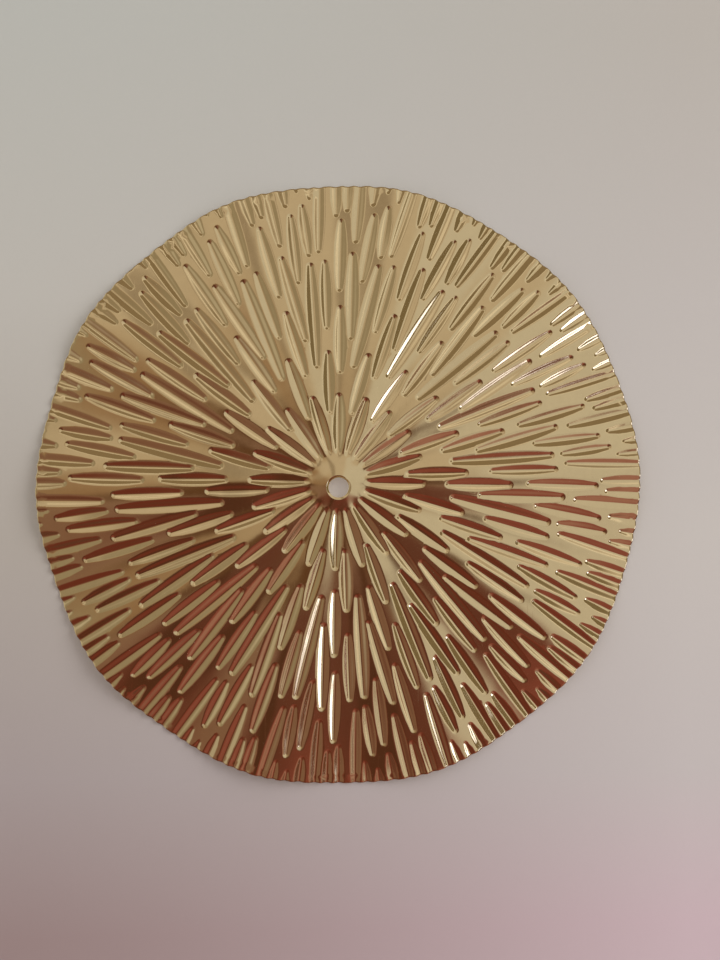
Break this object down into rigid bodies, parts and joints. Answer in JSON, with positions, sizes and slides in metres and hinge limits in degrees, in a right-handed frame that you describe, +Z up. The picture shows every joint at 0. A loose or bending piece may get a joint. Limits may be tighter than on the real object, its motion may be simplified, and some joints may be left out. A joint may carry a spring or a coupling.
{
  "type": "sunburst wall disc",
  "caption": "Round pressed-metal disc with a rippled sheet, radiating flutes and a centre boss with a turned-back hole; a clock face blank or wall ornament.",
  "frame": {"origin": "on the axis of the centre hole, level with the middle of the rippled sheet's front surface", "axes": "+Z up on the wall, -Y out of the decorated face towards the room, +X to the viewer's right"},
  "size_m": [0.301, 0.006, 0.301],
  "materials": {
    "plate_metal": "satin pale gold"
  },
  "bodies": {
    "root": {"sunburst_plate": "plate_metal"}
  },
  "joints": []
}
